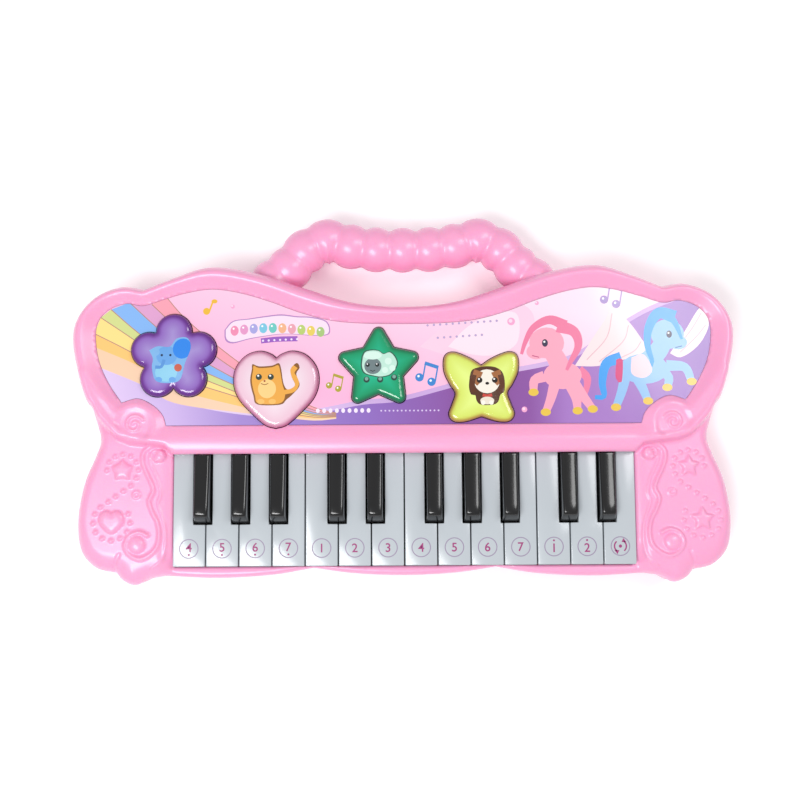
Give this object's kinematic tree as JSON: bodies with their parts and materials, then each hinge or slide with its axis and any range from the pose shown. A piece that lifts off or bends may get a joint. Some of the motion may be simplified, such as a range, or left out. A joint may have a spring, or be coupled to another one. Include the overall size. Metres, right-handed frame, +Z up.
{
  "type": "toy electronic keyboard",
  "caption": "Toy electronic keyboard with white and black keys, shaped light-up buttons, a printed panel, a speaker and a beaded carrying handle.",
  "frame": {"origin": "on the table under the middle of the toy, at the bottom centre of its box", "axes": "+X along the keys to the right, +Y from the keys towards the handle, +Z up"},
  "size_m": [0.3268, 0.1839, 0.036],
  "materials": {
    "pink_plastic": "glossy moulded polystyrene",
    "printed_film": "glossy printed film",
    "white_key_plastic": "glossy",
    "black_key_plastic": "glossy",
    "purple_translucent": "translucent, glossy",
    "pearl_pink": "pearly, glossy",
    "green_translucent": "translucent, glossy",
    "yellow_translucent": "translucent, glossy",
    "inner_plastic": "natural moulded plastic",
    "black_plastic": "matt",
    "board_green": "solder mask",
    "silicone": "translucent silicone rubber",
    "foot_rubber": "matt rubber",
    "steel": "plated steel",
    "magnet": "ferrite and steel cup",
    "speaker_paper": "pressed paper",
    "cell_sleeve": "plain printed sleeve",
    "led_epoxy": "clear epoxy",
    "lead_insulation": "soft insulation"
  },
  "bodies": {
    "housing": {"top_shell": "pink_plastic", "bottom_shell": "pink_plastic", "handle_upper": "pink_plastic", "handle_lower": "pink_plastic", "printed_panel": "printed_film", "battery_contacts": "steel", "battery_cells": "cell_sleeve", "speaker_frame": "black_plastic", "speaker_magnet": "magnet", "speaker_cone": "speaker_paper", "main_circuit_board": "board_green", "key_circuit_board": "board_green", "button_circuit_board": "board_green", "white_key_domes": "silicone", "black_key_domes": "silicone", "button_domes": "silicone", "key_frame": "inner_plastic", "key_pivot_rod": "steel", "leds": "led_epoxy", "sound_chip": "black_plastic", "capacitor": "black_plastic", "power_switch_body": "steel", "battery_leads": "lead_insulation", "speaker_leads": "lead_insulation", "shell_screws": "steel", "key_frame_screws": "steel", "board_screws": "steel", "rubber_feet": "foot_rubber"},
    "white_key_01": {"white_key_01": "white_key_plastic"},
    "white_key_02": {"white_key_02": "white_key_plastic"},
    "white_key_03": {"white_key_03": "white_key_plastic"},
    "white_key_04": {"white_key_04": "white_key_plastic"},
    "white_key_05": {"white_key_05": "white_key_plastic"},
    "white_key_06": {"white_key_06": "white_key_plastic"},
    "white_key_07": {"white_key_07": "white_key_plastic"},
    "white_key_08": {"white_key_08": "white_key_plastic"},
    "white_key_09": {"white_key_09": "white_key_plastic"},
    "white_key_10": {"white_key_10": "white_key_plastic"},
    "white_key_11": {"white_key_11": "white_key_plastic"},
    "white_key_12": {"white_key_12": "white_key_plastic"},
    "white_key_13": {"white_key_13": "white_key_plastic"},
    "white_key_14": {"white_key_14": "white_key_plastic"},
    "black_key_01": {"black_key_01": "black_key_plastic"},
    "black_key_02": {"black_key_02": "black_key_plastic"},
    "black_key_03": {"black_key_03": "black_key_plastic"},
    "black_key_04": {"black_key_04": "black_key_plastic"},
    "black_key_05": {"black_key_05": "black_key_plastic"},
    "black_key_06": {"black_key_06": "black_key_plastic"},
    "black_key_07": {"black_key_07": "black_key_plastic"},
    "black_key_08": {"black_key_08": "black_key_plastic"},
    "black_key_09": {"black_key_09": "black_key_plastic"},
    "black_key_10": {"black_key_10": "black_key_plastic"},
    "flower_button": {"flower_button": "purple_translucent"},
    "heart_button": {"heart_button": "pearl_pink"},
    "star_button": {"star_button": "green_translucent"},
    "butterfly_button": {"butterfly_button": "yellow_translucent"},
    "battery_door": {"battery_door": "pink_plastic", "battery_door_screw": "steel"},
    "power_switch": {"power_switch_knob": "black_plastic"}
  },
  "joints": [
    {"name": "white_key_01_press", "type": "hinge", "parent": "housing", "child": "white_key_01", "pos_m": [0, -0.012, 0.02], "axis": [1, 0, 0], "range_deg": [0, 2.5], "stiffness_Nm_per_rad": 0.6, "springref_deg": -1.15},
    {"name": "white_key_02_press", "type": "hinge", "parent": "housing", "child": "white_key_02", "pos_m": [0, -0.012, 0.02], "axis": [1, 0, 0], "range_deg": [0, 2.5], "stiffness_Nm_per_rad": 0.6, "springref_deg": -1.15},
    {"name": "white_key_03_press", "type": "hinge", "parent": "housing", "child": "white_key_03", "pos_m": [0, -0.012, 0.02], "axis": [1, 0, 0], "range_deg": [0, 2.5], "stiffness_Nm_per_rad": 0.6, "springref_deg": -1.15},
    {"name": "white_key_04_press", "type": "hinge", "parent": "housing", "child": "white_key_04", "pos_m": [0, -0.012, 0.02], "axis": [1, 0, 0], "range_deg": [0, 2.5], "stiffness_Nm_per_rad": 0.6, "springref_deg": -1.15},
    {"name": "white_key_05_press", "type": "hinge", "parent": "housing", "child": "white_key_05", "pos_m": [0, -0.012, 0.02], "axis": [1, 0, 0], "range_deg": [0, 2.5], "stiffness_Nm_per_rad": 0.6, "springref_deg": -1.15},
    {"name": "white_key_06_press", "type": "hinge", "parent": "housing", "child": "white_key_06", "pos_m": [0, -0.012, 0.02], "axis": [1, 0, 0], "range_deg": [0, 2.5], "stiffness_Nm_per_rad": 0.6, "springref_deg": -1.15},
    {"name": "white_key_07_press", "type": "hinge", "parent": "housing", "child": "white_key_07", "pos_m": [0, -0.012, 0.02], "axis": [1, 0, 0], "range_deg": [0, 2.5], "stiffness_Nm_per_rad": 0.6, "springref_deg": -1.15},
    {"name": "white_key_08_press", "type": "hinge", "parent": "housing", "child": "white_key_08", "pos_m": [0, -0.012, 0.02], "axis": [1, 0, 0], "range_deg": [0, 2.5], "stiffness_Nm_per_rad": 0.6, "springref_deg": -1.15},
    {"name": "white_key_09_press", "type": "hinge", "parent": "housing", "child": "white_key_09", "pos_m": [0, -0.012, 0.02], "axis": [1, 0, 0], "range_deg": [0, 2.5], "stiffness_Nm_per_rad": 0.6, "springref_deg": -1.15},
    {"name": "white_key_10_press", "type": "hinge", "parent": "housing", "child": "white_key_10", "pos_m": [0, -0.012, 0.02], "axis": [1, 0, 0], "range_deg": [0, 2.5], "stiffness_Nm_per_rad": 0.6, "springref_deg": -1.15},
    {"name": "white_key_11_press", "type": "hinge", "parent": "housing", "child": "white_key_11", "pos_m": [0, -0.012, 0.02], "axis": [1, 0, 0], "range_deg": [0, 2.5], "stiffness_Nm_per_rad": 0.6, "springref_deg": -1.15},
    {"name": "white_key_12_press", "type": "hinge", "parent": "housing", "child": "white_key_12", "pos_m": [0, -0.012, 0.02], "axis": [1, 0, 0], "range_deg": [0, 2.5], "stiffness_Nm_per_rad": 0.6, "springref_deg": -1.15},
    {"name": "white_key_13_press", "type": "hinge", "parent": "housing", "child": "white_key_13", "pos_m": [0, -0.012, 0.02], "axis": [1, 0, 0], "range_deg": [0, 2.5], "stiffness_Nm_per_rad": 0.6, "springref_deg": -1.15},
    {"name": "white_key_14_press", "type": "hinge", "parent": "housing", "child": "white_key_14", "pos_m": [0, -0.012, 0.02], "axis": [1, 0, 0], "range_deg": [0, 2.5], "stiffness_Nm_per_rad": 0.6, "springref_deg": -1.15},
    {"name": "black_key_01_press", "type": "hinge", "parent": "housing", "child": "black_key_01", "pos_m": [0, -0.012, 0.02], "axis": [1, 0, 0], "range_deg": [0, 3], "stiffness_Nm_per_rad": 0.6, "springref_deg": -1.15},
    {"name": "black_key_02_press", "type": "hinge", "parent": "housing", "child": "black_key_02", "pos_m": [0, -0.012, 0.02], "axis": [1, 0, 0], "range_deg": [0, 3], "stiffness_Nm_per_rad": 0.6, "springref_deg": -1.15},
    {"name": "black_key_03_press", "type": "hinge", "parent": "housing", "child": "black_key_03", "pos_m": [0, -0.012, 0.02], "axis": [1, 0, 0], "range_deg": [0, 3], "stiffness_Nm_per_rad": 0.6, "springref_deg": -1.15},
    {"name": "black_key_04_press", "type": "hinge", "parent": "housing", "child": "black_key_04", "pos_m": [0, -0.012, 0.02], "axis": [1, 0, 0], "range_deg": [0, 3], "stiffness_Nm_per_rad": 0.6, "springref_deg": -1.15},
    {"name": "black_key_05_press", "type": "hinge", "parent": "housing", "child": "black_key_05", "pos_m": [0, -0.012, 0.02], "axis": [1, 0, 0], "range_deg": [0, 3], "stiffness_Nm_per_rad": 0.6, "springref_deg": -1.15},
    {"name": "black_key_06_press", "type": "hinge", "parent": "housing", "child": "black_key_06", "pos_m": [0, -0.012, 0.02], "axis": [1, 0, 0], "range_deg": [0, 3], "stiffness_Nm_per_rad": 0.6, "springref_deg": -1.15},
    {"name": "black_key_07_press", "type": "hinge", "parent": "housing", "child": "black_key_07", "pos_m": [0, -0.012, 0.02], "axis": [1, 0, 0], "range_deg": [0, 3], "stiffness_Nm_per_rad": 0.6, "springref_deg": -1.15},
    {"name": "black_key_08_press", "type": "hinge", "parent": "housing", "child": "black_key_08", "pos_m": [0, -0.012, 0.02], "axis": [1, 0, 0], "range_deg": [0, 3], "stiffness_Nm_per_rad": 0.6, "springref_deg": -1.15},
    {"name": "black_key_09_press", "type": "hinge", "parent": "housing", "child": "black_key_09", "pos_m": [0, -0.012, 0.02], "axis": [1, 0, 0], "range_deg": [0, 3], "stiffness_Nm_per_rad": 0.6, "springref_deg": -1.15},
    {"name": "black_key_10_press", "type": "hinge", "parent": "housing", "child": "black_key_10", "pos_m": [0, -0.012, 0.02], "axis": [1, 0, 0], "range_deg": [0, 3], "stiffness_Nm_per_rad": 0.6, "springref_deg": -1.15},
    {"name": "flower_button_press", "type": "slide", "parent": "housing", "child": "flower_button", "axis": [0, 0, -1], "range_m": [0, 0.0015], "stiffness_N_per_m": 600, "springref_m": -0.001},
    {"name": "heart_button_press", "type": "slide", "parent": "housing", "child": "heart_button", "axis": [0, 0, -1], "range_m": [0, 0.0015], "stiffness_N_per_m": 600, "springref_m": -0.001},
    {"name": "star_button_press", "type": "slide", "parent": "housing", "child": "star_button", "axis": [0, 0, -1], "range_m": [0, 0.0015], "stiffness_N_per_m": 600, "springref_m": -0.001},
    {"name": "butterfly_button_press", "type": "slide", "parent": "housing", "child": "butterfly_button", "axis": [0, 0, -1], "range_m": [0, 0.0015], "stiffness_N_per_m": 600, "springref_m": -0.001},
    {"name": "battery_door_hinge", "type": "hinge", "parent": "housing", "child": "battery_door", "pos_m": [-0.095, -0.0036, 0.003], "axis": [-1, 0, 0], "range_deg": [0, 80]},
    {"name": "power_switch_slide", "type": "slide", "parent": "housing", "child": "power_switch", "axis": [1, 0, 0], "range_m": [0, 0.004]}
  ]
}
